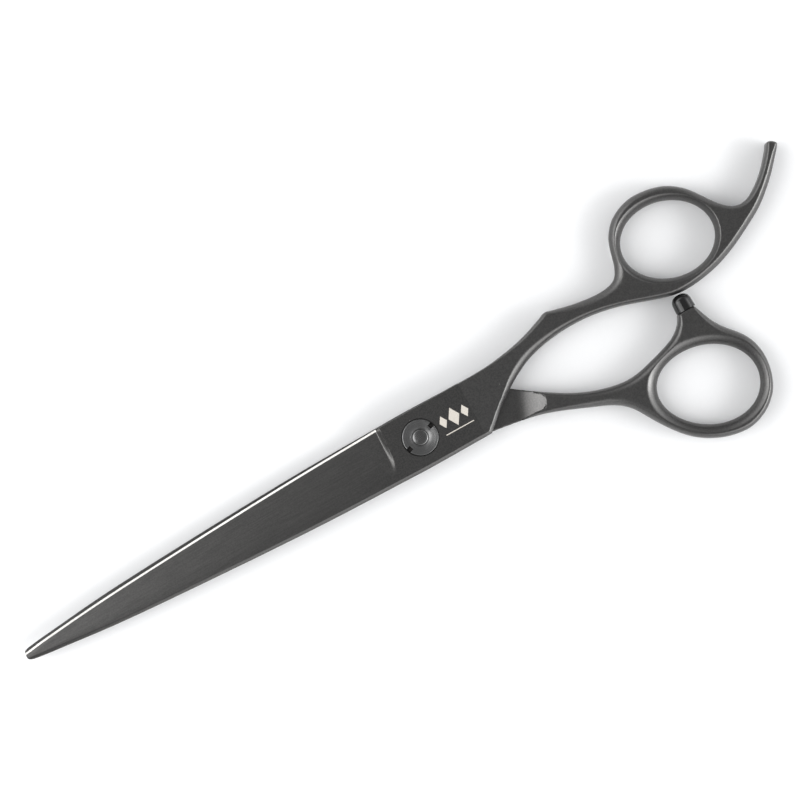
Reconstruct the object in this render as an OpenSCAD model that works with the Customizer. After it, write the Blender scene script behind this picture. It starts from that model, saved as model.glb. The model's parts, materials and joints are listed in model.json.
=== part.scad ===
// Hair cutting shears, closed, lying on the thumb half's outer face.
// Origin: on the pivot axis, in the plane of that face. +X runs to the blade tips,
// +Y to the thumb ring's side, +Z out of the face that carries the tension disc.

/* [Blades] */
// Thickness of each half at the pivot
blade_t = 2.6; // [2.4:0.1:3.2]
// Running gap between the two ride faces
ride_gap = 0.06; // [0.04:0.01:0.1]
// Distance from the pivot to the blade tips
tip_x = 104.2; // [95:0.2:112]
// Where the ground part of the blade starts, ahead of the pivot
heel_x = 8.2; // [7.5:0.1:10]
// Half thickness left at the tip, as a share of the thickness at the pivot
tip_share = 0.5; // [0.35:0.05:0.7]
// Width of the sharpened bevel
edge_w = 0.45; // [0.3:0.05:0.7]
// Height of the sharpened bevel
edge_h = 0.55; // [0.4:0.05:0.8]
// Width of the bevel along the spine
spine_w = 0.85; // [0.5:0.05:1.1]
// Height of the bevel along the spine
spine_h = 0.75; // [0.4:0.05:1.0]

// How much narrower the thumb blade is along its spine
thumb_narrower = 0.5; // [0:0.1:0.8]

/* [Pivot] */
// Radius of the tension disc
disc_r = 4.2; // [4.1:0.05:4.5]
// Gap between the tension disc and its counterbore
disc_gap = 0.18; // [0.1:0.02:0.25]
// Depth of the disc's counterbore
counterbore = 1.3; // [1.2:0.05:1.4]
// Radius of the stud's journal
journal_r = 2.25; // [2:0.05:2.4]
// Radial running clearance of the journal
running = 0.04; // [0.02:0.01:0.08]
// Outer radius of the bushing
bushing_r = 3; // [2.8:0.05:3.2]
// Radius of the stud's threaded end
thread_r = 1.75; // [1.5:0.05:1.8]
// Radius of the stud's flush head
head_r = 3.6; // [3.4:0.1:4]

/* [Handles] */
// Long and short half axes of the finger hole
finger_hole = [11.15, 9];
// Long and short half axes of the thumb hole
thumb_hole = [12.07, 9.3];
// How far the edges of the handles are rounded in
edge_round = 0.9; // [0.6:0.05:0.95]
// Diameter of the bumper
bumper_d = 4.85; // [4.5:0.05:5]
// Gap left between the bumper and the finger ring when closed
bumper_gap = 0.1; // [0.05:0.05:0.5]

/* [Hidden] */
$fn = 96;

height = 2 * blade_t + ride_gap;
ride_z = blade_t + ride_gap;
mid_z = height / 2;
weld_x = -13.5;
fit = 0.01;

blade_black = [0.17, 0.165, 0.16];
handle_black = [0.12, 0.115, 0.115];
bare_steel = [0.72, 0.71, 0.69];
turned_steel = [0.34, 0.34, 0.34];
bronze = [0.62, 0.47, 0.28];
nylon_white = [0.86, 0.85, 0.8];
rubber_black = [0.04, 0.04, 0.04];

finger_hole_at = [-72.1, -12.4];
finger_hole_turn = -15;
thumb_hole_at = [-64.2, 21.5];
thumb_hole_turn = -22.6;
bumper_x = -67.95;
bumper_base_y = 3.95;
bumper_tip_y = -0.12 + bumper_gap;

// A smooth curve through the points p, k steps between neighbours.
function at(p, i) = p[min(max(i, 0), len(p) - 1)];
function smooth_step(a, b, c, d, t) =
    0.5 * (2 * b + (c - a) * t + (2 * a - 5 * b + 4 * c - d) * t * t
    + (3 * b - a - 3 * c + d) * t * t * t);
function smooth(p, k) = concat(
    [for (i = [0:len(p) - 2], s = [0:k - 1])
        smooth_step(at(p, i - 1), at(p, i), at(p, i + 1), at(p, i + 2), s / k)],
    [p[len(p) - 1]]
);
// The height y of a list of [x, y] points at x, straight between neighbours.
function height_at(p, x) = lookup(x, p);
function ellipse_at(centre, axes, turn, n) = [
    for (i = [0:n - 1])
        let (a = 360 * i / n)
        [centre.x + axes.x * cos(a) * cos(turn) - axes.y * sin(a) * sin(turn),
         centre.y + axes.x * cos(a) * sin(turn) + axes.y * sin(a) * cos(turn)]
];
// Normals of a closed anticlockwise outline, pointing out, and mitred at its corners.
function turned(v) = [v.y, -v.x] / norm(v);
function normal_at(p, i) =
    let (n = len(p), a = turned(p[i] - p[(i + n - 1) % n]), b = turned(p[(i + 1) % n] - p[i]))
    (a + b) / (1 + a * b);
function reversed(p) = [for (i = [len(p) - 1:-1:0]) p[i]];
function inset(p, d) = [for (i = [0:len(p) - 1]) p[i] - d * normal_at(p, i)];

// Outline curves of the finger half, from the ricasso to the rear and back.
finger_back = [
    [weld_x, -6.75], [-19, -6.8], [-22, -6.95], [-25.6, -7.45], [-30.7, -8.45], [-35.6, -10.05],
    [-38.6, -11.35]
];
finger_waist = [
    [-39.6, -11.35], [-42.8, -10.4], [-47, -9.55], [-52.6, -9.1], [-56.4, -10], [-58.3, -12.7],
    [-59.1, -16.2], [-60.4, -19.6], [-63.1, -22.7], [-67, -24.6], [-71, -25.05], [-76.7, -23.9],
    [-80.9, -21.2], [-83.7, -17.7], [-86.2, -14.1], [-89, -11.75], [-92, -11.5], [-95.2, -13.1],
    [-98.5, -15.9], [-101.4, -19.1], [-102.7, -20.8]
];
finger_tip = [[-103.3, -21.25], [-104.1, -20.9], [-104.5, -20.1]];
finger_front = [
    [-102.9, -17.6], [-99.8, -13.7], [-94.6, -9.1], [-89.5, -6.1], [-84.4, -3.5], [-79.3, -1.55],
    [-74, -0.45], [-70, -0.12], [-66.5, -0.5], [-61.4, -2.1], [-55.2, -4.1], [-49.1, -5.35],
    [-43, -5.72], [-36.8, -5.2], [-30.7, -3.7], [-25.6, -1.15], [-22.5, 0.9], [-18.4, 4],
    [-16.4, 5.7], [-15.1, 7.16]
];
// Outline curves of the thumb half.
thumb_back = [
    [weld_x, 6.75], [-19, 7.45], [-22, 7.9], [-25.6, 8.55], [-30.7, 10.1], [-36.8, 12.6],
    [-42.9, 15.2], [-46.3, 18], [-49.1, 22.6], [-52.2, 27.1], [-56, 31], [-61.4, 33.9],
    [-67.5, 34.95], [-72.6, 33.4], [-76.5, 30], [-78.5, 25.6], [-78.9, 21], [-77.9, 16.7],
    [-74.6, 12.8], [-72.2, 9.4]
];
thumb_stub = [[-71.2, 7], [-70.3, 5], [-69.5, 3], [-65.9, 3]];
thumb_front = [
    [-64.4, 6.2], [-61.4, 8.35], [-55.2, 10.35], [-49.1, 11.65], [-43, 10.8], [-36.8, 8.6],
    [-30.7, 5.1], [-25.6, 1.7], [-22.5, -0.7], [-18.4, -3.9], [-16.4, -5.5],
    [-15.1, thumb_narrower - 7.16]
];
// Cutting edge and spine of the finger blade.
edge_line = smooth([
    [heel_x, -6.5], [30, -5.72], [55, -4.45], [80, -2.87], [tip_x - 7, -1.28],
    [tip_x - 0.2, -0.55]
], 6);
spine_line = smooth([
    [heel_x, 7.2], [30, 6.75], [55, 5.6], [80, 4.1], [tip_x - 7, 2.4], [tip_x - 0.2, 1.1]
], 6);

finger_outline = reversed(concat(
    smooth(finger_back, 3), smooth(finger_waist, 3), finger_tip, smooth(finger_front, 3),
    [[weld_x, 7.18]]
));
thumb_outline = concat(
    smooth(thumb_front, 3), [[weld_x, thumb_narrower - 7.18]], smooth(thumb_back, 3), thumb_stub
);

// A solid skinned over rings of points, each anticlockwise seen from the last one.
module skin(rings) {
    n = len(rings[0]);
    last = len(rings) - 1;
    sides = [
        for (j = [0:last - 1], i = [0:n - 1])
            let (a = j * n + i, b = j * n + (i + 1) % n)
            each [[a, a + n, b + n], [a, b + n, b]]
    ];
    first_face = [for (i = [0:n - 1]) i];
    last_face = [for (i = [n - 1:-1:0]) last * n + i];
    polyhedron([for (ring = rings) each ring], concat([first_face, last_face], sides), convexity = 8);
}

// A solid with the given outline whose upper and lower edges are rounded in, but for
// the flat end at the weld.
module pebble(outline, round_in) {
    layers = [
        [0, 1], [0.09, 0.55], [0.24, 0.18], [0.4, 0], [0.6, 0], [0.76, 0.18], [0.91, 0.55], [1, 1]
    ];
    skin([
        for (layer = layers)
            let (p = inset(outline, round_in * layer[1]))
            [for (i = [0:len(p) - 1])
                [outline[i].x == weld_x ? weld_x : p[i].x, p[i].y, height * layer[0]]]
    ]);
}

// The flared hole for a finger or the thumb, built up of slices between its ovals.
module ring_hole(centre, axes, turn) {
    sheet = 0.01;
    flare = [[-1, 1.6], [0, 1.15], [0.3, 0.6], [0.8, 0.22], [1.5, 0]];
    function mirrored(p) = [for (i = [len(p) - 1:-1:0]) [height - p[i][0], p[i][1]]];
    steps = concat(flare, mirrored(flare));
    module oval(step)
        translate([0, 0, step[0]])
            linear_extrude(sheet)
                polygon(ellipse_at(centre, axes + [step[1], step[1]], turn, 48));
    for (i = [0:len(steps) - 2])
        hull() {
            oval(steps[i]);
            oval(steps[i + 1]);
        }
}

// The space for the other half's ricasso, cut out of this handle's inner side, with a round end.
module scoop() {
    end_r = 2.6;
    end_at = [-26.2, -5.9];
    round_end = [for (a = [180:15:270]) end_at + end_r * [cos(a), sin(a)]];
    translate([0, 0, -1])
        linear_extrude(ride_z + 1)
            polygon(concat([[10, 20], [-28.8, 20]], round_end, [[10, -8.5]]));
}

// Ricasso and ground blade of one half, as the finger half carries it.
module half_blade(narrower) {
    step_in = 0.04;
    stations = [for (p = edge_line) p.x];
    rises = [[0.16, 0.45], [0.34, 0.74], [0.55, 0.94], [0.74, 1]];
    function thickness(x) =
        (blade_t - step_in) * (1 - (1 - tip_share) * pow((x - heel_x) / (tip_x - heel_x), 1.4));
    function section(x) =
        let (
            e = height_at(edge_line, x),
            s = height_at(spine_line, x) - narrower,
            w = s - e,
            bevel = min(edge_w, w * 0.2),
            ridge = min(spine_w, w * 0.3),
            t = thickness(x)
        )
        concat(
            [[x, e, ride_z], [x, e + bevel, ride_z + edge_h]],
            [for (r = rises)
                [x, e + bevel + (w - bevel - ridge) * r[0], ride_z + edge_h + (t - edge_h) * r[1]]],
            [[x, s - ridge, ride_z + t], [x, s, ride_z + t - spine_h * t / blade_t], [x, s, ride_z]]
        );
    skin([for (x = stations) reversed(section(x))]);
    rear = weld_x;
    translate([0, 0, ride_z])
        difference() {
            linear_extrude(blade_t)
                polygon([
                    [rear, -6.75], [heel_x, -6.6], [heel_x, 7.26 - narrower], [0, 7.33 - narrower],
                    [rear, 7.18 - narrower]
                ]);
            translate([-16, 7.35 - narrower - spine_w, blade_t])
                rotate([-atan(spine_h / spine_w), 0, -0.4])
                    cube([40, 4, 4]);
        }
}

module finger_blade() {
    color(blade_black)
        difference() {
            half_blade(0);
            translate([0, 0, height - counterbore])
                cylinder(r = disc_r + disc_gap, h = counterbore + 1);
            translate([0, 0, ride_z - 1])
                cylinder(r = bushing_r + fit, h = blade_t + 2);
        }
}

module finger_handle() {
    color(handle_black)
        difference() {
            pebble(finger_outline, edge_round);
            ring_hole(finger_hole_at, finger_hole, finger_hole_turn);
            scoop();
        }
}

module thumb_blade() {
    washer_seat = 0.2;
    color(blade_black)
        difference() {
            translate([0, 0, height])
                rotate([180, 0, 0])
                    half_blade(thumb_narrower);
            translate([0, 0, -1])
                cylinder(r = journal_r + fit, h = blade_t + 2);
            translate([0, 0, blade_t - washer_seat])
                cylinder(r = 4.65, h = washer_seat + 1);
            translate([0, 0, -1])
                stud_head(fit, 1.9);
        }
}

module thumb_handle() {
    color(handle_black)
        difference() {
            pebble(thumb_outline, edge_round);
            ring_hole(thumb_hole_at, thumb_hole, thumb_hole_turn);
            translate([0, 0, height])
                rotate([180, 0, 0])
                    scoop();
            translate([bumper_x, bumper_base_y, mid_z])
                rotate([-90, 0, 0])
                    cylinder(r = 0.9 + fit, h = 4.2);
            translate([bumper_x - 4, bumper_base_y - 2, -1])
                cube([8, 2, height + 2]);
        }
}

// Round head with two flats that keep the stud from turning.
module stud_head(grow, h) {
    intersection() {
        cylinder(r = head_r + grow, h = h);
        translate([-head_r - 1, -2.9 - grow, -1])
            cube([2 * head_r + 2, 5.8 + 2 * grow, h + 2]);
    }
}

module pivot_stud() {
    head_t = 0.86;
    shoulder_z = 4.36;
    dome_z = height - 0.12;
    color(turned_steel) {
        translate([0, 0, 0.02])
            stud_head(0, head_t);
        translate([0, 0, 0.4])
            cylinder(r = journal_r, h = shoulder_z - 0.4);
        translate([0, 0, shoulder_z - 0.2])
            cylinder(r = thread_r, h = dome_z - shoulder_z + 0.2);
        translate([0, 0, dome_z - 4.9])
            intersection() {
                sphere(r = 5.2);
                translate([0, 0, 4.9])
                    cylinder(r = thread_r, h = 1);
            }
    }
}

module washer(inner, outer, z, h) {
    translate([0, 0, z])
        difference() {
            cylinder(r = outer, h = h);
            translate([0, 0, -1])
                cylinder(r = inner, h = h + 2);
        }
}

module pivot_bushing() {
    color(bronze)
        washer(journal_r + running, bushing_r, ride_z, blade_t - counterbore);
}

module ride_washer() {
    color(nylon_white)
        washer(journal_r + running, 4.6, blade_t - 0.19, 0.23);
}

// Shallow cone that pushes the disc away from the blade.
module spring_washer() {
    sheet = 0.16;
    rise = 0.14;
    floor_z = height - counterbore + 0.01;
    color(bare_steel)
        rotate_extrude()
            polygon([
                [journal_r + 0.1, floor_z + rise], [4.1, floor_z], [4.1, floor_z + sheet],
                [journal_r + 0.1, floor_z + rise + sheet]
            ]);
}

module pressure_washer() {
    color(nylon_white)
        washer(journal_r + 0.06, 4.15, height - counterbore + 0.34, 0.2);
}

// Dished nut with two key notches on one diameter.
module tension_disc() {
    base_z = height - counterbore + 0.55;
    rim_z = height + 0.02;
    dish_z = height - 0.28;
    color(turned_steel)
        difference() {
            rotate_extrude()
                polygon([
                    [thread_r + 0.05, base_z], [disc_r, base_z], [disc_r, rim_z - 0.08],
                    [disc_r - 0.08, rim_z], [2.1, dish_z], [1.95, dish_z - 0.15],
                    [thread_r + 0.05, dish_z - 0.15]
                ]);
            for (turn = [18, 198])
                rotate([0, 0, turn])
                    translate([2.4, -0.6, rim_z - 0.5])
                        cube([3, 1.2, 1]);
        }
}

module bumper_stem() {
    color(bare_steel)
        translate([bumper_x, bumper_tip_y + 1.6, mid_z])
            rotate([-90, 0, 0])
                cylinder(r = 0.9, h = 6.4);
}

module bumper_cap() {
    body = bumper_base_y - fit - bumper_tip_y;
    color(rubber_black)
        translate([bumper_x, bumper_tip_y, mid_z])
            rotate([-90, 0, 0])
                difference() {
                    rotate_extrude()
                        intersection() {
                            union() {
                                translate([0, 1.4])
                                    square([bumper_d / 2, body - 1.4]);
                                square([1.1, body]);
                                translate([1.1, 1.4])
                                    circle(r = 1.4);
                            }
                            square([bumper_d / 2, body]);
                        }
                    translate([0, 0, 1.59])
                        cylinder(r = 0.9 + fit, h = body);
                }
}

finger_blade();
finger_handle();
thumb_blade();
thumb_handle();
pivot_stud();
pivot_bushing();
ride_washer();
spring_washer();
pressure_washer();
tension_disc();
bumper_stem();
bumper_cap();
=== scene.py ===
import bmesh
import bpy
import json
import math
import numpy as np
from mathutils import Matrix, Vector

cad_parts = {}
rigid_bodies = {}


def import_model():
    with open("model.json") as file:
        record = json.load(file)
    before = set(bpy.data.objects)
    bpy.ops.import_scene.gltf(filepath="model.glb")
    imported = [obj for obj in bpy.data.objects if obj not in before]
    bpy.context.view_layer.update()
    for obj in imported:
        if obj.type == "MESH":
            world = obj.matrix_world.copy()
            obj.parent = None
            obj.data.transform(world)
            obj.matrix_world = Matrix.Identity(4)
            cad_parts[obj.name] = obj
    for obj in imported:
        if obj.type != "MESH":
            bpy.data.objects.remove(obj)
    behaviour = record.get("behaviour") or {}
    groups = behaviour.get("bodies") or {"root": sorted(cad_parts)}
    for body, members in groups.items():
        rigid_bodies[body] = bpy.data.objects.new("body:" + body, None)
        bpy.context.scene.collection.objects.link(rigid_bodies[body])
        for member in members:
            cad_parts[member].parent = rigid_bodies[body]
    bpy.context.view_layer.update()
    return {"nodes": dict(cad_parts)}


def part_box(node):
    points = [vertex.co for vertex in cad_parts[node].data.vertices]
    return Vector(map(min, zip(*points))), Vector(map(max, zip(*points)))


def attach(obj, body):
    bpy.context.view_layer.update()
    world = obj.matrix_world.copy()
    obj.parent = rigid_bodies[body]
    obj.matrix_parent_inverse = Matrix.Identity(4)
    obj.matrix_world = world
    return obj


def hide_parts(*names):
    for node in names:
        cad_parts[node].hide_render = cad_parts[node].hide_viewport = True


for leftover in list(bpy.data.objects):
    bpy.data.objects.remove(leftover)
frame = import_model()

# ---------------------------------------------------------------- finger blade
# Drop forged steel, ground to a convex face and coated black. Its cutting bevel and the
# ride line behind it are honed bare. The flat ricasso is bored for the pivot.

MM = 0.001


class Wire:
    """One output of a tree's nodes, which Python's operators turn into Math nodes."""

    def __init__(self, tree, socket):
        self.tree, self.socket = tree, socket

    def math(self, operation, *values):
        return self.tree.node("ShaderNodeMath", {"operation": operation}, dict(enumerate(values)))

    def __add__(self, other):
        return self.math("ADD", self, other)

    def __sub__(self, other):
        return self.math("SUBTRACT", self, other)

    def __rsub__(self, other):
        return self.math("SUBTRACT", other, self)

    def __mul__(self, other):
        return self.math("MULTIPLY", self, other)

    def __lt__(self, other):
        return self.math("LESS_THAN", self, other)

    __radd__, __rmul__ = __add__, __mul__

    def size(self):
        return self.math("ABSOLUTE", self)

    def rises(self, low, high):
        """0 below low, 1 above high, and smooth between."""
        return self.tree.node("ShaderNodeMapRange", {"interpolation_type": "SMOOTHSTEP"}, {
            "Value": self, "From Min": low, "From Max": high})


class Tree:
    """The nodes of one material, or of the surroundings."""

    def __init__(self, tree):
        self.nodes, self.links = tree.nodes, tree.links

    def put(self, socket, value):
        if isinstance(value, Wire):
            self.links.new(value.socket, socket)
        elif socket.type == "RGBA":
            socket.default_value = (*value[:3], 1)
        else:
            socket.default_value = value

    def node(self, kind, settings, sockets, output=0):
        made = self.nodes.new(kind)
        for name, value in settings.items():
            setattr(made, name, value)
        for name, value in sockets.items():
            self.put(made.inputs[name], value)
        return Wire(self, made.outputs[output])


class Finish(Tree):
    """A material round one Principled shader."""

    def __init__(self, name, **constants):
        self.material = bpy.data.materials.new(name)
        self.material.use_nodes = True
        super().__init__(self.material.node_tree)
        self.shader = self.nodes["Principled BSDF"]
        for label, value in constants.items():
            self.set(label.replace("_", " "), value)
        self.where = self.node("ShaderNodeTexCoord", {}, {}, "Object")
        self.x, self.y = (
            self.node("ShaderNodeSeparateXYZ", {}, {"Vector": self.where}, axis) for axis in "XY")

    def set(self, label, value):
        self.put(self.shader.inputs[label], value)

    def stretched(self, sx, sy, sz):
        return self.node("ShaderNodeVectorMath", {"operation": "MULTIPLY"}, {
            0: self.where, 1: (sx, sy, sz)})

    def noise(self, coordinates, scale, detail):
        return self.node("ShaderNodeTexNoise", {}, {
            "Vector": coordinates, "Scale": scale, "Detail": detail})

    def mix(self, share, first, second):
        return self.node("ShaderNodeMix", {"data_type": "RGBA"}, {0: share, 6: first, 7: second}, 2)

    def bump(self, height, distance, strength):
        return self.node("ShaderNodeBump", {}, {
            "Height": height, "Distance": distance, "Strength": strength})

    def specks(self, cell, share, radius):
        """Sparse round specks: a share of the cells holds one each."""
        cells = {"settings": {"feature": "F1"}, "sockets": {"Vector": self.where, "Scale": 1 / cell}}
        reach = self.node("ShaderNodeTexVoronoi", **cells, output="Distance")
        tone = self.node("ShaderNodeTexVoronoi", **cells, output="Color")
        chosen = self.node("ShaderNodeSeparateColor", {}, {"Color": tone}, "Red") < share
        return (1 - reach.rises(radius * 0.4, radius)) * chosen


def black_coating(name, ground=False):
    """Thin black ceramic coating, over fine grinding lines and with the mark on a blade."""
    finish = Finish(name, Specular_IOR_Level=0.5)
    pebbled = finish.noise(finish.where, 3000, 2)
    cloudy = finish.noise(finish.where, 55, 4)
    dust = finish.specks(2.2 * MM, 0.16, 0.055)
    if ground:
        lines = finish.noise(finish.stretched(160, 3600, 3600), 1, 3)
        grain = pebbled + finish.x.rises(6 * MM, 14 * MM) * 0.5 * (lines - pebbled)
        shades = (0.08, 0.079, 0.078), (0.108, 0.106, 0.104)
    else:
        grain = pebbled
        shades = (0.096, 0.095, 0.094), (0.125, 0.123, 0.121)
    dull, dusty, etched = (0.075, 0.073, 0.071), (0.55, 0.53, 0.5), (0.64, 0.6, 0.54)
    tone = finish.mix(grain.rises(0.3, 0.7), *shades)
    tone = finish.mix(cloudy.rises(0.4, 0.75) * 0.25, tone, dull)
    tone = finish.mix(dust * 0.5, tone, dusty)
    rough = 0.34 + (grain - 0.5) * 0.1 + (cloudy - 0.5) * 0.08 + dust * 0.3
    metallic = 0.9
    if ground:
        mark = etched_mark(finish)
        tone = finish.mix(mark, tone, etched)
        rough = rough + mark * 0.12
        metallic = metallic - mark * 0.7
    finish.set("Base Color", tone)
    finish.set("Metallic", metallic)
    finish.set("Roughness", rough)
    finish.set("Normal", finish.bump(grain + cloudy * 0.8, 0.006 * MM, 0.2 if ground else 0.5))
    return finish.material


def etched_mark(finish):
    """A plain row of lozenges by a thin rule, etched bright through the coating."""
    middle_x, gem_y, gem_squat = -9.1, -0.5, 0.62
    rule_y, rule_long, rule_wide = 2.5, 7.2, 0.22
    beside = (finish.x - middle_x * MM).size() < rule_long / 2 * MM
    mark = beside * ((finish.y - rule_y * MM).size() < rule_wide / 2 * MM)
    for gem_x, half in ((middle_x + 2.8, 0.95), (middle_x, 1.4), (middle_x - 2.8, 0.95)):
        off = (finish.x - gem_x * MM).size() + (finish.y - gem_y * MM).size() * gem_squat
        mark = mark + (off < half * MM)
    return mark


def bare_steel(name):
    """Freshly honed or turned steel with fine cross lines and a few dull patches."""
    finish = Finish(name, Metallic=1.0)
    lines = finish.noise(finish.stretched(1500, 350, 350), 1, 3)
    dull = finish.noise(finish.where, 160, 3)
    finish.set("Base Color", finish.mix(lines.rises(0.3, 0.7), (0.72, 0.7, 0.67), (0.86, 0.84, 0.81)))
    finish.set("Roughness", 0.34 + (lines - 0.5) * 0.12 + dull.rises(0.5, 0.8) * 0.15)
    finish.set("Normal", finish.bump(lines, 0.008 * MM, 0.4))
    return finish.material


def smooth_curve(points, spacing=0.25):
    """Points along a Catmull-Rom curve. A point is x, y and any further values, all smoothed."""
    p = np.array(points, float)
    p = np.vstack([2 * p[0] - p[1], p, 2 * p[-1] - p[-2]])
    made = []
    for a, b, c, d in zip(p, p[1:], p[2:], p[3:]):
        count = max(2, int(np.linalg.norm(c[:2] - b[:2]) / spacing))
        t = (np.arange(count) / count)[:, None]
        made.append(0.5 * (2 * b + (c - a) * t + (2 * a - 5 * b + 4 * c - d) * t ** 2
                           + (3 * b - a - 3 * c + d) * t ** 3))
    return np.vstack(made + [p[-2]])


def crease(piece, degrees=32):
    """Makes a piece smooth but for its edges sharper than that."""
    piece.data.polygons.foreach_set("use_smooth", [True] * len(piece.data.polygons))
    piece.data.set_sharp_from_angle(angle=math.radians(degrees))


def piece_of(name, vertices, faces, materials, face_material=None):
    """A mesh object from points in millimetres, and each face's material by number."""
    mesh = bpy.data.meshes.new(name)
    mesh.from_pydata((np.asarray(vertices, float) * MM).tolist(), [], faces)
    for material in materials:
        mesh.materials.append(material)
    if face_material is not None:
        mesh.polygons.foreach_set("material_index", face_material)
    shape = bmesh.new()
    shape.from_mesh(mesh)
    bmesh.ops.remove_doubles(shape, verts=shape.verts, dist=1e-7)
    bmesh.ops.recalc_face_normals(shape, faces=shape.faces)
    shape.to_mesh(mesh)
    shape.free()
    piece = bpy.data.objects.new(name, mesh)
    bpy.context.scene.collection.objects.link(piece)
    crease(piece)
    return piece


def lathe(name, profile, materials, sides=160):
    """A closed profile of (radius, z) turned about the z axis."""
    p = np.array(profile, float)
    turns = np.linspace(0, 2 * np.pi, sides, endpoint=False)
    vertices = [(r * math.cos(a), r * math.sin(a), z) for a in turns for r, z in p]
    n = len(p)
    faces = []
    for k in range(sides):
        m = (k + 1) % sides
        for i in range(n):
            j = (i + 1) % n
            corners = [k * n + i, m * n + i, m * n + j, k * n + j]
            if p[i][0] == 0:
                corners.remove(m * n + i)
            if p[j][0] == 0:
                corners.remove(m * n + j)
            if len(corners) > 2:
                faces.append(corners)
    return piece_of(name, vertices, faces, materials)


def carve(piece, *cutters):
    """Cuts the cutters out of the piece."""
    for cutter in cutters:
        cut = piece.modifiers.new("cut", "BOOLEAN")
        cut.operation, cut.solver, cut.object = "DIFFERENCE", "EXACT", cutter
        seen = piece.evaluated_get(bpy.context.evaluated_depsgraph_get())
        result = bpy.data.meshes.new_from_object(seen)
        piece.modifiers.clear()
        piece.data = result
        bpy.data.objects.remove(cutter)
    crease(piece)


def cylinder(name, radius, low, high):
    return lathe(name, [(0, low), (radius, low), (radius, high), (0, high)], [], sides=128)


blade_coat = black_coating("blade_coating", ground=True)
honed_steel = bare_steel("honed_steel")

ride_z, height = (corner.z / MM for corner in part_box("finger_blade"))
thumb_ride_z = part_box("thumb_blade")[1].z / MM
weld_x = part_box("finger_handle")[1].x / MM
tip_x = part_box("finger_blade")[1].x / MM
mid_z = height / 2
thick = height - ride_z
heel_x = 7.3
bevel_w, bevel_h = 0.46, 0.33
break_w, spine_w, spine_h, spine_power = 0.3, 0.85, 0.75, 1.15
tip_long, full_w = 6, 2.4
edge_curve = smooth_curve([
    (weld_x, -6.75), (0, -6.68), (7.2, -6.6), (9, -6.47), (30, -5.72), (55, -4.45), (80, -2.87),
    (tip_x - 7, -1.3), (tip_x, -0.4)])
spine_curve = smooth_curve([
    (weld_x, 7.18), (0, 7.33), (8, 7.22), (30, 6.75), (55, 5.6), (80, 4.1), (tip_x - 7, 2.42),
    (tip_x, 1.72)])


def fall(distance, width, depth, power):
    """How far a rounded edge has dropped at a distance inside its rim."""
    across = np.clip((width - distance) / width, 0, 1)
    return depth * (1 - (1 - across ** power) ** (1 / power))


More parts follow.
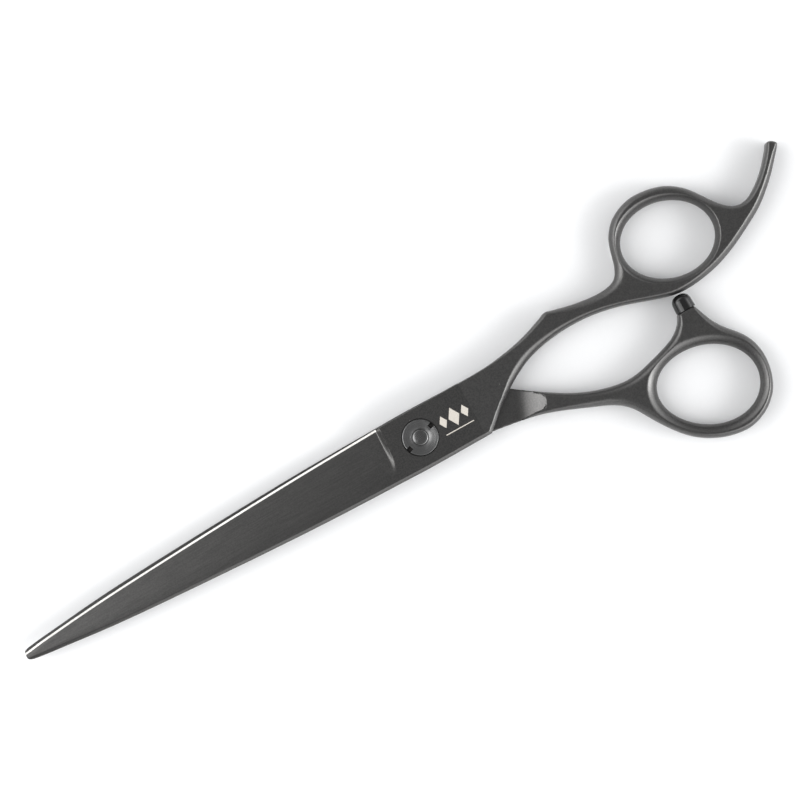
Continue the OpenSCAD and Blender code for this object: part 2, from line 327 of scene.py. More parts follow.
def half_blade(narrower):
    """One blade as the finger half carries it, its spine set in by narrower: its points in rows
    across it from weld to tip, its quads, and for each quad whether it is bare."""
    heel_from, heel_to = 6.8, 10
    x = np.concatenate([
        np.linspace(weld_x, heel_from, 26, endpoint=False),
        np.linspace(heel_from, heel_to, 54, endpoint=False),
        np.linspace(heel_to, tip_x - tip_long, 60, endpoint=False),
        np.linspace(tip_x - tip_long, tip_x, 24)])[:, None]
    edge = np.interp(x, *edge_curve.T)
    spine = np.interp(x, *spine_curve.T) - narrower
    width = spine - edge
    narrow = np.minimum(1, width / full_w)
    bevel_steps = [0, 0.08, 0.16, 0.26, 0.36, bevel_w]
    ride_steps = [bevel_w + 0.03, 0.7]
    spine_steps = [1.25, spine_w + 0.03, spine_w, 0.7, 0.52, 0.34, 0.2, 0.09, 0]
    from_edge = np.array(bevel_steps + ride_steps)[None] * narrow
    from_spine = np.array(spine_steps)[None] * narrow
    middle = np.linspace(0, 1, 22)[None, 1:-1]
    inner = edge + from_edge[:, -1:], spine - from_spine[:, :1]
    y = np.hstack([edge + from_edge, inner[0] + (inner[1] - inner[0]) * middle, spine - from_spine])
    d_edge, d_spine = (y - edge) / narrow, (spine - y) / narrow

    # The flat ricasso, then the ground face: a bevel, and a crown that thins towards the tip.
    spine_fall = fall(d_spine, spine_w, spine_h, spine_power)
    ricasso = thick - fall(d_edge, break_w, break_w, 2) - spine_fall
    along = np.clip((x - heel_x) / (tip_x - heel_x), 0, 1)
    crown = thick * (1 - 0.66 * along ** 1.3)
    share = np.clip((d_edge - bevel_w) / (width / narrow - bevel_w - spine_w), 0, 1.3)
    rise = 1 - np.clip(1 - share / 0.85, 0, 1) ** 1.5
    bevel = bevel_h * np.clip(d_edge / bevel_w, 0, 1) * np.minimum(1, crown / thick + 0.15)
    ground = bevel + (crown - bevel_h) * rise - spine_fall * crown / thick

    # The heel's step leans a little and runs out forwards at the spine.
    heel = heel_x + 0.075 * (y + 6.2) + 0.5 * np.clip((y - 1) / 2.5, 0, 1.3) ** 2
    slope = np.clip(1 - (x - heel) / (1.15 - 0.03 * (y + 6)), 0, 1) ** 1.7
    highest = ground + np.maximum(thick - ground, 0) * slope
    top = np.maximum(np.minimum(ricasso, highest), 0.02)

    # The inner side is hollow ground between the ride line and the spine.
    hollow = 0.09 * np.clip((x - 14) / 8, 0, 1) * np.clip(np.minimum(d_edge, d_spine) / 0.7 - 1, 0, 1)
    hollow = hollow * np.clip((tip_x - 2 - x) / tip_long, 0, 1)

    # The tip is rounded back towards the spine.
    slant = 1.25 * ((y - edge) / width) ** 6 + 0.15 * np.clip(1 - d_edge / 0.4, 0, 1) ** 2
    xs = x - slant * np.clip((x - (tip_x - tip_long)) / tip_long, 0, 1) ** 1.5

    rows, count = y.shape
    over = np.stack([xs, y, ride_z + top], -1).reshape(-1, 3)
    under = np.stack([xs, y, ride_z + hollow], -1).reshape(-1, 3)
    number = np.arange(rows * count).reshape(rows, count)
    bevel_quads = len(bevel_steps) - 1
    ride_quads = len(bevel_steps + ride_steps) - 1
    quads, bare = [], []
    for j in range(rows - 1):
        bevel_bare, ride_bare = x[j, 0] > heel_x + 0.9, x[j, 0] > heel_x + 2
        for i in range(count - 1):
            a, b, c, d = number[j, i], number[j + 1, i], number[j + 1, i + 1], number[j, i + 1]
            quads += [(a, b, c, d), tuple(v + rows * count for v in (a, d, c, b))]
            bare += [int(i < bevel_quads and bevel_bare), int(i < ride_quads and ride_bare)]
        for i, turn in ((0, 1), (count - 1, -1)):
            a, b = number[j, i], number[j + 1, i]
            quads.append((a, a + rows * count, b + rows * count, b)[::turn])
            bare.append(0)
    for j, turn in ((0, 1), (rows - 1, -1)):
        for i in range(count - 1):
            a, b = number[j, i], number[j, i + 1]
            quads.append((a, b, b + rows * count, a + rows * count)[::turn])
            bare.append(0)
    return np.vstack([over, under]), quads, bare


vertices, quads, bare = half_blade(0)
finger_blade = piece_of("finger_blade_ground", vertices, quads, [blade_coat, honed_steel], bare)
disc_low, disc_high = (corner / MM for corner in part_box("tension_disc"))
bushing_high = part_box("pivot_bushing")[1] / MM
pocket_gap, slip = 0.18, 0.01
carve(
    finger_blade,
    cylinder("pocket", disc_high.x + pocket_gap, bushing_high.z, height + 1),
    cylinder("bushing_bore", bushing_high.x + slip, ride_z - 1, height + 1))
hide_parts("finger_blade")
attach(finger_blade, "finger_half")

# ---------------------------------------------------------------- handles
# Each handle is drop forged with its ring, ground to shape, welded to its blade and
# tumbled, so every edge is rounded. The shank is hollowed where the other half crosses.

outline_past, mesh_past = 4, 1.5
handle_coat = black_coating("handle_coating")


class Rim:
    """A closed edge line in plan, its kinks eased by up to most_moved. Along it goes its edge's
    rounding: width, depth and power. Distances to it are positive on its left."""

    most_moved, easings, batch = 0.08, 60, 20000

    def __init__(self, points):
        even = points
        for _ in range(self.easings):
            even = (np.roll(even, 1, 0) + 2 * even + np.roll(even, -1, 0)) / 4
        move = even[:, :2] - points[:, :2]
        reach = np.maximum(np.linalg.norm(move, axis=1), 1e-9)
        self.p = points[:, :2] + move * np.minimum(1, self.most_moved / reach)[:, None]
        self.values = even[:, 2:]
        self.step = np.roll(self.p, -1, 0) - self.p
        self.length = np.maximum(np.linalg.norm(self.step, axis=1), 1e-9)
        side = np.stack([-self.step[:, 1], self.step[:, 0]], 1) / self.length[:, None]
        corner = side + np.roll(side, 1, 0)
        self.corner = corner / np.maximum(np.linalg.norm(corner, axis=1), 1e-9)[:, None]

    def near(self, xy):
        """For each place, the index of the nearest point of the line."""
        found = np.empty(len(xy), int)
        square = (self.p ** 2).sum(1)
        for i in range(0, len(xy), self.batch):
            part = slice(i, i + self.batch)
            found[part] = (square - 2 * xy[part] @ self.p.T).argmin(1)
        return found

    def at(self, xy, index):
        """Signed distance and edge values at each place, from the two segments by index."""
        best, distance, values = None, None, None
        for start in (index - 1, index):
            i = start % len(self.p)
            j = (start + 1) % len(self.p)
            rel = xy - self.p[i]
            t = np.clip((rel * self.step[i]).sum(1) / self.length[i] ** 2, 0, 1)
            gap = rel - self.step[i] * t[:, None]
            far = np.linalg.norm(gap, axis=1)
            normal = self.corner[i] * (1 - t[:, None]) + self.corner[j] * t[:, None]
            signed = far * np.where((gap * normal).sum(1) < 0, -1, 1)
            value = self.values[i] * (1 - t[:, None]) + self.values[j] * t[:, None]
            if best is None:
                best, distance, values = far, signed, value
            else:
                nearer = far < best
                distance = np.where(nearer, signed, distance)
                values = np.where(nearer[:, None], value, values)
        return distance, values


def rounded_edge(distance, rise, values):
    """How far inside a rounded edge a place is: distance from the rim, rise from mid height."""
    width, depth, power = values.T
    across = np.clip((width - distance) / width, 0, None)
    up = np.clip((rise - mid_z + depth) / depth, 0, None)
    return np.minimum(width, depth) * (1 - (across ** power + up ** power + 1e-12) ** (1 / power))


def blend_min(a, b, radius):
    """The smaller of two, rounded over where they are alike."""
    share = np.clip(0.5 + 0.5 * (b - a) / radius, 0, 1)
    return b + (a - b) * share - radius * share * (1 - share)


def wrap(forging, low, high, step):
    """A quad mesh round the places where the forging's value is above zero. Each grid cell
    that its surface crosses has one point, amid the crossings of the cell's edges."""
    axes = [np.arange(lo, hi + step, step) for lo, hi in zip(low, high)]
    field = forging.grid(*axes)
    full = field > 0
    cells = tuple(n - 1 for n in field.shape)
    total, count = np.zeros((*cells, 3)), np.zeros(cells)
    crossings = []
    for axis in range(3):
        first = [slice(None)] * 3
        second = [slice(None)] * 3
        first[axis], second[axis] = slice(0, -1), slice(1, None)
        a, b = field[tuple(first)], field[tuple(second)]
        crossed = full[tuple(first)] != full[tuple(second)]
        at = np.argwhere(crossed)
        share = (a / np.where(a == b, 1, a - b))[crossed]
        spot = at.astype(float)
        spot[:, axis] += share
        others = [k for k in range(3) if k != axis]
        for du in (0, 1):
            for dv in (0, 1):
                cell = at.copy()
                cell[:, others[0]] -= du
                cell[:, others[1]] -= dv
                ok = np.all((cell >= 0) & (cell < cells), axis=1)
                np.add.at(total, tuple(cell[ok].T), spot[ok])
                np.add.at(count, tuple(cell[ok].T), 1)
        crossings.append((at, full[tuple(first)][crossed], others))
    number = -np.ones(cells, int)
    used = count > 0
    number[used] = np.arange(used.sum())
    points = total[used] / count[used][:, None] * step + np.array([a[0] for a in axes])
    faces = []
    for axis, (at, outward, others) in enumerate(crossings):
        ring = []
        for du, dv in ((0, 0), (1, 0), (1, 1), (0, 1)):
            cell = at.copy()
            cell[:, others[0]] -= du
            cell[:, others[1]] -= dv
            ring.append(number[tuple(np.clip(cell, 0, np.array(cells) - 1).T)])
        quad = np.stack(ring, 1)
        flip = outward if axis == 1 else ~outward
        quad[flip] = quad[flip][:, ::-1]
        faces.append(quad)
    return points, np.vstack(faces)


class Forging:
    """The solid of one handle: an outline, a ring hole and, in the side where the halves
    cross, a spoon-shaped hollow whose floor rises to the surface at its rim."""

    # The hollow as the thumb half has it: its round end, the way it runs from there, how
    # much wider it gets on each side, and how long its floor takes to come down.
    end_x, end_y, end_r = -27.4, 5.9, 2.2
    way = math.cos(math.radians(-23)), math.sin(math.radians(-23))
    widening, floor_long = 0.42, 7
    ring_blend, hollow_blend = 0.14, 0.1

    def __init__(self, outline, hole, inner_z, facing):
        self.rims = Rim(outline), Rim(hole)
        self.inner_z, self.facing = inner_z, facing

    def near(self, xy):
        """Where each place is nearest to on each rim."""
        return [rim.near(xy) for rim in self.rims]

    def value(self, xyz, near):
        """About how far inside the solid each place is, in millimetres."""
        xy, z = xyz[:, :2], xyz[:, 2]
        (outer, outer_edge), (inner, inner_edge) = (
            rim.at(xy, found) for rim, found in zip(self.rims, near))
        rise = np.abs(z - mid_z)
        body = blend_min(
            rounded_edge(outer, rise, outer_edge), rounded_edge(inner, rise, inner_edge),
            self.ring_blend)
        x, y = xy[:, 0] - self.end_x, xy[:, 1] * self.facing - self.end_y
        along, aside = x * self.way[0] + y * self.way[1], x * self.way[1] - y * self.way[0]
        half = self.end_r + self.widening * np.maximum(along, 0)
        inside = (half ** 2 - aside ** 2 - np.minimum(along, 0) ** 2) / (2 * half)
        floor_rise = np.clip(1 - (along + self.end_r) / self.floor_long, 0, 2) ** 2
        hollow = (z - self.inner_z) * self.facing - (height - thumb_ride_z) * floor_rise
        return blend_min(body, -np.minimum(inside, hollow), self.hollow_blend)

    def grid(self, xs, ys, zs):
        """The value at each corner of a grid."""
        plan = np.stack(np.meshgrid(xs, ys, indexing="ij"), -1).reshape(-1, 2)
        near = self.near(plan)
        layers = [
            self.value(np.c_[plan, np.full(len(plan), z)], near).reshape(len(xs), len(ys)) for z in zs]
        return np.stack(layers, -1)

    def slope(self, points):
        """The value at each place, and the way and rate at which it grows."""
        near = self.near(points[:, :2])
        made = []
        for axis in range(3):
            step = np.zeros(3)
            step[axis] = 0.02
            change = self.value(points + step, near) - self.value(points - step, near)
            made.append(change / (2 * step[axis]))
        return self.value(points, near), np.stack(made, 1)


def forged_piece(name, forging, low, high):
    """The mesh of a forging within its low and high x and y, cut off flat at the weld."""
    step, below, over, passes = 0.3, 0.35, 0.4, 4
    points, faces = wrap(forging, (*low, -below), (*high, height + over), step)
    for _ in range(passes):
        value, slope = forging.slope(points)
        steep = np.maximum((slope ** 2).sum(1), 0.05)
        points = points - slope * np.clip(value / steep, -0.5 * step, 0.5 * step)[:, None]
    mesh = bpy.data.meshes.new(name)
    mesh.from_pydata(points * MM, [], faces.tolist())
    shape = bmesh.new()
    shape.from_mesh(mesh)
    bmesh.ops.remove_doubles(shape, verts=shape.verts, dist=1e-7)
    cut = bmesh.ops.bisect_plane(
        shape, geom=shape.verts[:] + shape.edges[:] + shape.faces[:],
        plane_co=(weld_x * MM, 0, 0), plane_no=(1, 0, 0), clear_outer=True)
    rim = [e for e in cut["geom_cut"] if isinstance(e, bmesh.types.BMEdge)]
    bmesh.ops.holes_fill(shape, edges=rim)
    shape.to_mesh(mesh)
    shape.free()
    piece = bpy.data.objects.new(name, mesh)
    bpy.context.scene.collection.objects.link(piece)
    corners = np.array([v.co for v in mesh.vertices]) / MM
    slope = forging.slope(corners)[1]
    normals = -slope / np.maximum(np.linalg.norm(slope, axis=1), 1e-9)[:, None]
    loops = []
    for face in mesh.polygons:
        face.use_smooth = True
        flat_end = all(abs(corners[v][0] - weld_x) < 1e-3 for v in face.vertices)
        loops += [face.normal if flat_end else Vector(normals[v]) for v in face.vertices]
    mesh.normals_split_custom_set(loops)
    mesh.materials.append(handle_coat)
    return piece


def oval(centre, half_long, half_short, turn, flare, lean, pointed=0.0):
    """A closed oval rim, clockwise, so that its outside is on its left. Its flare is widest
    towards the blades. One end can be more pointed."""
    sides, blades_turn, flare_depth, flare_power = 240, 29, 2.45, 1.4
    a = -np.arange(0, 2 * np.pi, 2 * np.pi / sides)
    u = half_long * np.cos(a)
    v = half_short * np.sin(a) * (1 + pointed * np.cos(a))
    t = math.radians(turn)
    x = centre[0] + u * math.cos(t) - v * math.sin(t)
    y = centre[1] + u * math.sin(t) + v * math.cos(t)
    width = flare + lean * np.cos(a + t + math.radians(blades_turn))
    return np.c_[x, y, width, np.full(len(a), flare_depth), np.full(len(a), flare_power)]


# x, y, then the edge's rounding: width, depth, power (2 is round, 1 a flat bevel)
finger_back = [
    (weld_x + outline_past, -6.62, 0.3, 0.3, 2), (weld_x, -6.66, 0.3, 0.3, 2),
    (-20.5, -6.82, 0.35, 0.35, 2), (-25.6, -7.45, 0.6, 0.8, 2), (-30.7, -8.45, 0.9, 1.2, 2),
    (-35.6, -10.05, 1, 1.4, 2), (-38.5, -11.35, 1, 1.5, 2),
]
finger_waist = [
    (-39.4, -11.4, 1, 1.6, 2), (-42.8, -10.45, 1.5, 2.2, 2), (-47, -9.6, 2, 2.4, 2),
    (-52.6, -9.1, 2.3, 2.5, 2), (-56.4, -10, 2.4, 2.6, 2), (-58.3, -12.7, 2.3, 2.6, 2),
    (-59.1, -16.2, 1.9, 2.5, 2), (-60.4, -19.6, 1.7, 2.4, 2), (-63.1, -22.7, 1.7, 2.4, 2),
    (-67, -24.6, 1.7, 2.4, 2), (-71, -25.05, 1.7, 2.4, 2), (-76.7, -23.9, 1.7, 2.4, 2),
    (-80.9, -21.2, 1.7, 2.4, 2), (-83.7, -17.7, 2, 2.6, 2), (-86.2, -14.1, 1.6, 2.4, 2),
    (-89, -11.75, 1.3, 2.2, 2), (-92, -11.5, 1.2, 2, 2), (-95.2, -13.1, 1.1, 2, 2),
    (-98.5, -15.9, 1, 1.9, 2), (-101.4, -19.15, 0.9, 1.7, 2), (-102.2, -20.45, 0.7, 1.3, 2),
    (-102.75, -21, 0.6, 1.2, 2), (-103.5, -20.95, 0.6, 1.2, 2), (-104.3, -20.4, 0.6, 1.2, 1.9),
    (-104.75, -19.7, 0.7, 1.2, 1.6), (-104.3, -18.8, 0.8, 1.25, 1.4), (-103, -17.35, 1.1, 1.35, 1.3),
    (-99.8, -13.7, 1.3, 1.5, 1.3), (-94.6, -9.1, 1.4, 1.6, 1.25),
    (-89.5, -6.1, 1.45, 1.65, 1.25), (-84.4, -3.5, 1.45, 1.65, 1.25), (-79.3, -1.55, 1.4, 1.7, 1.25),
    (-74, -0.45, 1.3, 1.8, 1.35), (-70, -0.12, 1.4, 2.2, 1.6), (-66.5, -0.5, 1.3, 2.4, 1.9),
    (-61.4, -2.1, 1.3, 2.3, 2), (-55.2, -4.1, 1.3, 2.3, 2), (-49.1, -5.35, 1.4, 2.3, 1.9),
    (-43, -5.72, 1.6, 2.3, 1.8), (-36.8, -5.2, 1.9, 2.2, 1.7), (-30.7, -3.7, 2.1, 2, 1.5),
    (-25.6, -1.15, 1.7, 1.6, 1.3), (-22.5, 0.9, 1.1, 1.15, 1.2), (-18.4, 4.05, 0.9, 0.9, 1.15),
    (-15.35, 6.85, 0.85, 0.8, 1.15),
]
finger_front = [
    (-15, 7.2, 0.85, 0.75, 1.15), (weld_x, 7.27, 0.85, 0.75, 1.15),
    (weld_x + outline_past, 7.32, 0.85, 0.75, 1.15),
]
finger_outline = np.vstack([smooth_curve(part) for part in (finger_back, finger_waist, finger_front)])
finger_hole = oval((-72.1, -12.4), 11.15, 9.0, -15, 1.55, 0.45)
finger_forging = Forging(finger_outline[::-1].copy(), finger_hole, ride_z, -1)
finger_handle = forged_piece(
    "finger_handle_forging", finger_forging, (-105.5, -26), (weld_x + mesh_past, 8))
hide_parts("finger_handle")
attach(finger_handle, "finger_half")

# ---------------------------------------------------------------- thumb blade
# The other half's blade, turned over. It is slightly narrower, so its spine stands just
# clear of the finger blade's edge. The stud's flat-sided head is sunk into its back.

spine_narrower = 0.5
vertices, quads, bare = half_blade(spine_narrower)
vertices = vertices * (1, -1, -1) + (0, 0, height)
thumb_blade = piece_of("thumb_blade_ground", vertices, quads, [blade_coat, honed_steel], bare)
stud_low, stud_high = (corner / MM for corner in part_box("pivot_stud"))
washer_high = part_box("ride_washer")[1] / MM
head_r, head_flat, head_thick, journal_r = stud_high.x, 2.9, 0.86, 2.25
head_gap, seat_gap, seat_deep = 0.03, 0.05, 0.2


def flat_sided(name, radius, flat, low, high):
    """A disc with two flats."""
    a = np.linspace(0, 2 * np.pi, 128, endpoint=False)
    ring = np.c_[radius * np.cos(a), np.clip(radius * np.sin(a), -flat, flat)]
    n = len(ring)
    vertices = [(*p, z) for z in (low, high) for p in ring]
    faces = [tuple(range(n))[::-1], tuple(range(n, 2 * n))]
    faces += [(i, (i + 1) % n, n + (i + 1) % n, n + i) for i in range(n)]
    return piece_of(name, vertices, faces, [])


carve(
    thumb_blade,
    cylinder("journal_bore", journal_r + slip, -1, thumb_ride_z + 1),
    cylinder("washer_seat", washer_high.x + seat_gap, thumb_ride_z - seat_deep, thumb_ride_z + 1),
    flat_sided("head_pocket", head_r + head_gap, head_flat + head_gap, -1, head_thick + 0.04))
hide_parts("thumb_blade")
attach(thumb_blade, "thumb_half")

# ---------------------------------------------------------------- thumb handle
# Drop forged, welded to its blade, ground and tumbled like the other handle. A short stub
# stands on it towards the other half, drilled for the bumper's stem.

# x, y, then the edge's rounding, as on the finger handle
thumb_back = [
    (weld_x + outline_past, 6.6, 0.3, 0.3, 2), (weld_x, 6.75, 0.3, 0.3, 2), (-19, 7.45, 0.4, 0.5, 2),
    (-25.6, 8.55, 0.7, 1, 2), (-30.7, 10.1, 1, 1.6, 2), (-36.8, 12.6, 1.7, 2.3, 2),
    (-42.9, 15.2, 2.2, 2.5, 2), (-46.3, 18, 2.2, 2.6, 2), (-49.1, 22.6, 1.8, 2.5, 2),
    (-52.2, 27.1, 1.6, 2.4, 2), (-56, 31, 1.6, 2.4, 2), (-61.4, 33.9, 1.6, 2.4, 2),
    (-67.5, 34.95, 1.6, 2.4, 2), (-72.6, 33.4, 1.6, 2.4, 2), (-76.5, 30, 1.6, 2.4, 2),
    (-78.4, 25.6, 1.6, 2.4, 2), (-78.85, 21.5, 1.6, 2.4, 2), (-78.3, 18.2, 1.6, 2.4, 2),
    (-77.1, 15.55, 1.7, 2.4, 2), (-75.2, 13.2, 1.9, 2.5, 2), (-73.3, 11.1, 1.9, 2.5, 2),
    (-71.9, 8.9, 1.6, 2.3, 2), (-71, 6.8, 1.3, 2, 2), (-70.2, 4.7, 1, 1.6, 2),
    (-69.8, 3.95, 0.35, 0.5, 2),
]
stub_end = [(-69.75, 3.92, 0.3, 0.4, 2), (-65.75, 3.92, 0.3, 0.4, 2)]
thumb_waist = [
    (-65.7, 3.95, 0.35, 0.5, 2), (-65.4, 4.5, 1, 1.6, 2), (-64.4, 6.2, 1.3, 2, 2),
    (-61.4, 8.35, 2, 2.4, 2), (-55.2, 10.35, 2.3, 2.5, 2), (-49.1, 11.65, 2.4, 2.5, 2),
    (-43, 10.8, 2.2, 2.4, 2), (-36.8, 8.6, 1.7, 2.2, 2), (-30.7, 5.1, 1.2, 1.8, 2),
    (-25.6, 1.7, 0.8, 1.2, 1.6), (-22.5, -0.7, 0.8, 0.9, 1.3), (-18.4, -3.9, 0.85, 0.8, 1.15),
    (-15.35, -6.4, 0.85, 0.8, 1.15),
]
thumb_front = [
    (-15, -6.72, 0.85, 0.75, 1.15), (weld_x, -6.77, 0.85, 0.75, 1.15),
    (weld_x + outline_past, -6.82, 0.85, 0.75, 1.15),
]
thumb_outline = np.vstack([
    smooth_curve(part) for part in (thumb_back, stub_end, thumb_waist, thumb_front)])
thumb_hole = oval((-64.2, 21.5), 12.07, 9.3, -22.6, 2.4, 0.35, pointed=-0.06)
thumb_forging = Forging(thumb_outline, thumb_hole, thumb_ride_z, 1)
thumb_handle = forged_piece(
    "thumb_handle_forging", thumb_forging, (-80, -8.5), (weld_x + mesh_past, 36))
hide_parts("thumb_handle")
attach(thumb_handle, "thumb_half")

# ---------------------------------------------------------------- pivot
# The stud's head is sunk in the thumb blade, and its journal runs in a bronze bushing.
# A dished nut with two key notches presses a spring washer down into the finger blade.


def dark_steel(name, tone, rough, rings):
    """Blackened turned steel, with the tool's fine rings round the pivot axis."""
    finish = Finish(name, Metallic=1.0)
    radius = finish.node("ShaderNodeVectorMath", {"operation": "LENGTH"}, {
        0: finish.stretched(1, 1, 0)}, "Value")
    turning = finish.noise(finish.node("ShaderNodeCombineXYZ", {}, {"X": radius}), rings, 2)
    worn = finish.noise(finish.where, 600, 4)
    finish.set("Base Color", finish.mix(worn.rises(0.5, 0.8) * 0.5, tone, [c * 1.5 for c in tone]))
    finish.set("Roughness", rough + (turning - 0.5) * 0.25 + (worn - 0.5) * 0.1)
    finish.set("Normal", finish.bump(turning, 0.014 * MM, 0.8))
    return finish.material


disc_steel = dark_steel("blackened_disc", (0.2, 0.2, 0.2), 0.3, 9000)
stud_steel = dark_steel("blackened_stud", (0.17, 0.17, 0.17), 0.26, 7000)


def rounded(profile, radius, steps=4):
    """The profile with its corners rounded as far as there is room, but for those on the axis."""
    p = np.array(profile, float)
    made = []
    for a, b, c in zip(np.roll(p, 1, 0), p, np.roll(p, -1, 0)):
        if b[0] < 1e-6:
            made.append(b)
            continue
        to_a, to_c = np.linalg.norm(a - b), np.linalg.norm(c - b)
        r = min(radius, to_a / 2.2, to_c / 2.2)
        start, end = b + (a - b) / to_a * r, b + (c - b) / to_c * r
        for t in np.linspace(0, 1, steps):
            made.append((1 - t) ** 2 * start + 2 * t * (1 - t) * b + t ** 2 * end)
    return made


# Painted shade: the floors of the two key notches are coloured near black, standing in for the shade
# down inside them.
notch_shade = Finish("notch_painted_shade", Metallic=0.0, Specular_IOR_Level=0.3)
shade_blotches = notch_shade.noise(notch_shade.where, 2500, 4)
notch_shade.set("Base Color", notch_shade.mix(shade_blotches.rises(0.4, 0.7), (0.006, 0.006, 0.006), (0.03, 0.028, 0.026)))
notch_shade.set("Roughness", 0.7 + (shade_blotches - 0.5) * 0.3)
notch_shade.set("Normal", notch_shade.bump(shade_blotches, 0.02 * MM, 0.6))
painted_notch_shade = notch_shade.material

neck_r, shoulder_z = 1.75, 4.34
dome_base, dome_high = height - 0.12, 0.3
head_top = stud_low.z + head_thick
stud_profile = [
    (0, stud_low.z), (head_r, stud_low.z), (head_r, head_top), (journal_r, head_top),
    (journal_r, shoulder_z), (neck_r, shoulder_z + 0.02), (neck_r, dome_base)]
dome = [
    (neck_r * math.sin(a), dome_base + dome_high * math.cos(a))
    for a in np.linspace(np.pi / 2, 0, 14)[1:-1]]
dome.append((0, dome_base + dome_high))
stud = lathe("stud_turned", rounded(stud_profile, 0.1) + dome, [stud_steel])
box_faces = [(0, 1, 3, 2), (4, 6, 7, 5), (0, 4, 5, 1), (2, 3, 7, 6), (0, 2, 6, 4), (1, 5, 7, 3)]
for side in (1, -1):
    corners = [
        (x, side * y, z) for x in (-4, 4) for y in (head_flat, 6) for z in (-1, head_top + 0.09)]
    carve(stud, piece_of("flat_cut", corners, box_faces, []))
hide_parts("pivot_stud")
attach(stud, "thumb_half")

disc_base, disc_r, rim_z, disc_bore = disc_low.z, disc_high.x, disc_high.z, 1.8
dish = [
    (disc_bore, disc_base), (disc_r, disc_base), (disc_r, rim_z - 0.14), (disc_r - 0.12, rim_z - 0.02),
    (disc_r - 0.3, rim_z), (3.4, rim_z - 0.09), (2.7, rim_z - 0.2), (2.15, rim_z - 0.32),
    (2.02, rim_z - 0.42), (disc_bore, rim_z - 0.43)]
disc = lathe("disc_turned", rounded(dish, 0.05, 3), [disc_steel, painted_notch_shade], sides=200)


def channel(name, turn_deg, near, half, near_z, far_z, finish):
    """A cutter from near outwards along a radius, with a floor that can slope. What it cuts
    gets the disc's own finish, 0, or the near-black painted shade, 1."""
    past_rim = 5
    a = math.radians(turn_deg)
    spots = [(u, side * half, z) for u, floor_z in ((near, near_z), (past_rim, far_z))
             for z in (floor_z, rim_z + 1) for side in (-1, 1)]
    corners = [(u * math.cos(a) - v * math.sin(a), u * math.sin(a) + v * math.cos(a), z)
               for u, v, z in spots]
    return piece_of(name, corners, box_faces, [disc_steel, painted_notch_shade], [finish] * 6)


notch_z = disc_base + 0.12
for turn_deg in (20, 200):
    carve(
        disc,
        channel("key_slope", turn_deg, 2.45, 0.52, rim_z - 0.2, rim_z - 0.42, 0),
        channel("key_notch", turn_deg, 3.1, 0.56, notch_z, notch_z, 1))
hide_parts("tension_disc")
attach(disc, "tension_disc")

# ---------------------------------------------------------------- bearing parts
# A bronze bushing pressed into the finger blade, a nylon washer between the halves, and
# under the nut a domed spring washer and a nylon one.


def plain(name, tone, shade, rough, scale, metallic=0.0):
    """A small part's finish: two tones in fine patches with a matching relief."""
    finish = Finish(name, Metallic=metallic)
    patches = finish.noise(finish.where, scale, 4)
    rubbed = finish.noise(finish.where, scale / 9, 3)
    finish.set("Base Color", finish.mix(patches.rises(0.35, 0.7), tone, shade))
    finish.set("Roughness", rough + (patches - 0.5) * 0.2 + (rubbed - 0.5) * 0.15)
    finish.set("Normal", finish.bump(patches, 0.006 * MM, 0.5))
    return finish.material


def finished(node, material):
    """Gives a part of the frame its finish, and keeps its shape."""
    part = frame["nodes"][node]
    part.data.materials.clear()
    part.data.materials.append(material)
    crease(part, 30)


nylon = plain("nylon", (0.72, 0.7, 0.64), (0.62, 0.6, 0.54), 0.45, 1800)
finished("pivot_bushing", plain("bronze", (0.5, 0.31, 0.13), (0.38, 0.23, 0.1), 0.38, 2500, 1.0))
finished("ride_washer", nylon)
finished("spring_washer", plain(
    "spring_steel", (0.45, 0.45, 0.46), (0.34, 0.34, 0.35), 0.3, 2600, 1.0))
finished("pressure_washer", nylon)

# ---------------------------------------------------------------- bumper
# A glossy black rubber cap pushed over a steel stem in the thumb handle's stub. It stops
# the handles just before the blades close too far.

bumper_low, bumper_high = (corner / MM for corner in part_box("bumper_cap"))
bumper_x = (bumper_low.x + bumper_high.x) / 2
bumper_r = (bumper_high.x - bumper_low.x) / 2
rubber = Finish("bumper_rubber", Metallic=0.0, Specular_IOR_Level=0.55)
skin = rubber.noise(rubber.where, 1500, 3)
lint = rubber.specks(1.1 * MM, 0.25, 0.06)
rubber.set("Base Color", rubber.mix(lint * 0.4, (0.008, 0.008, 0.008), (0.2, 0.2, 0.2)))
rubber.set("Roughness", 0.13 + (skin - 0.5) * 0.08 + lint * 0.3)
rubber.set("Normal", rubber.bump(skin, 0.004 * MM, 0.5))
cap_long, round_end, wall_r = bumper_high.y - bumper_low.y, 2.0, bumper_r - 0.1
socket_r, socket_deep = 0.92, 1.61
cap_profile = [(socket_r, 0), (bumper_r - 0.08, 0), (bumper_r, 0.1), (wall_r, cap_long - round_end)]
cap_profile += [
    (wall_r * math.cos(a) ** 0.8, cap_long - round_end + round_end * math.sin(a))
    for a in np.linspace(0, np.pi / 2, 18)[1:-1]]
cap_profile += [(0, cap_long), (0, cap_long - socket_deep), (socket_r, cap_long - socket_deep)]
cap = lathe("bumper_cap_moulded", cap_profile, [rubber.material], sides=96)
cap.data.transform(Matrix.Rotation(math.pi / 2, 4, "X"))
cap.data.transform(Matrix.Translation((bumper_x * MM, bumper_high.y * MM, mid_z * MM)))
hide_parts("bumper_cap")
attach(cap, "thumb_half")

finished("bumper_stem", bare_steel("stem_steel"))

# ---------------------------------------------------------------- floor, light and camera
# A plain pale floor between two soft studio lights, in surroundings that glow at both sides
# and stay dimmer overhead. The camera looks straight down.

bpy.ops.mesh.primitive_plane_add(size=6, location=(0, 0, -0.0001))
floor = bpy.context.object
floor.name = "floor"
paper = Finish("floor_paper", Roughness=0.9, Specular_IOR_Level=0.1)
fibre = paper.noise(paper.where, 900, 3)
paper.set("Base Color", paper.mix(fibre, (0.88, 0.883, 0.89), (0.9, 0.903, 0.908)))
paper.set("Normal", paper.bump(fibre, 0.03 * MM, 0.4))
floor.data.materials.append(paper.material)

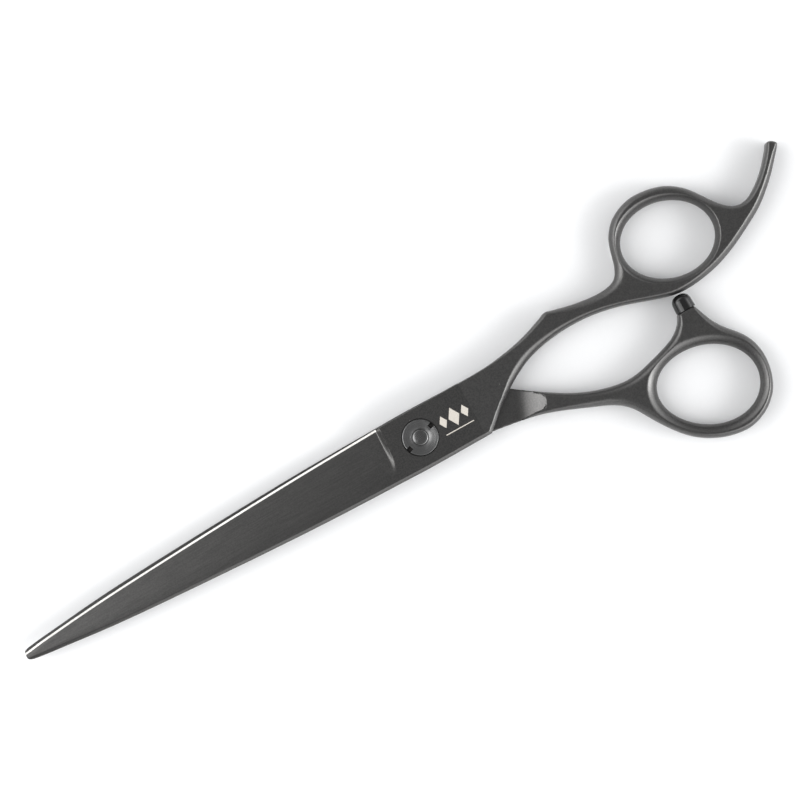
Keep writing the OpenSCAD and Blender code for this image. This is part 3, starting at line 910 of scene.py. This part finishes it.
# The camera's own right and up, for a view turned to set the blades low on the left.
view_turn = math.radians(28.9)
right = Vector((-math.cos(view_turn), math.sin(view_turn), 0))
up = Vector((-math.sin(view_turn), -math.cos(view_turn), 0))
away = Vector((0, 0, 1))
centre = Vector((-0.07, -9.78, mid_z)) * MM

world = bpy.data.worlds.new("studio")
bpy.context.scene.world = world
world.use_nodes = True
sky = Tree(world.node_tree)
around = sky.node("ShaderNodeTexCoord", {}, {}, "Generated")
above = sky.node("ShaderNodeSeparateXYZ", {}, {"Vector": around}, "Z")
across = sky.node("ShaderNodeVectorMath", {"operation": "DOT_PRODUCT"}, {
    0: around, 1: (right - up * 0.25).normalized()}, "Value")
side_glow = 4.4 * (1 - above.rises(0.35, 0.88))
haze = 0.35 + 0.65 * above.rises(0.05, 0.45)
stronger_at_sides = (across + 0.22) * across + 0.07
background = sky.nodes["Background"]
sky.put(background.inputs["Color"], (0.99, 0.995, 1))
sky.put(background.inputs["Strength"], side_glow * haze * stronger_at_sides + 0.3)


def soft_box(name, side, rise_deg, size, watts):
    """A softbox to one side of the object, by the camera's right and up, and risen."""
    distance, rise = 0.9, math.radians(rise_deg)
    direction = (right * side[0] + up * side[1]).normalized() * math.cos(rise)
    direction += away * math.sin(rise)
    light = bpy.data.lights.new(name, "AREA")
    light.shape = "RECTANGLE"
    light.size, light.size_y = size
    light.energy = watts
    holder = bpy.data.objects.new(name, light)
    bpy.context.scene.collection.objects.link(holder)
    holder.location = centre + direction * distance
    holder.rotation_euler = (-direction).to_track_quat("-Z", "Z").to_euler()


soft_box("left_light", (-1, -0.2), 46, (0.7, 0.7), 4.0)
soft_box("right_light", (1, -0.1), 25, (0.32, 0.28), 1.9)

view_wide = 0.1848
camera = bpy.data.cameras.new("camera")
camera.lens, camera.sensor_width = 100, 36
camera.clip_start, camera.clip_end = 0.01, 10
eye = bpy.data.objects.new("camera", camera)
bpy.context.scene.collection.objects.link(eye)
eye.location = centre + away * (view_wide * camera.lens / camera.sensor_width)
eye.rotation_euler = Matrix((right, up, away)).transposed().to_euler()
bpy.context.scene.camera = eye
bpy.context.scene.view_settings.view_transform = "Standard"
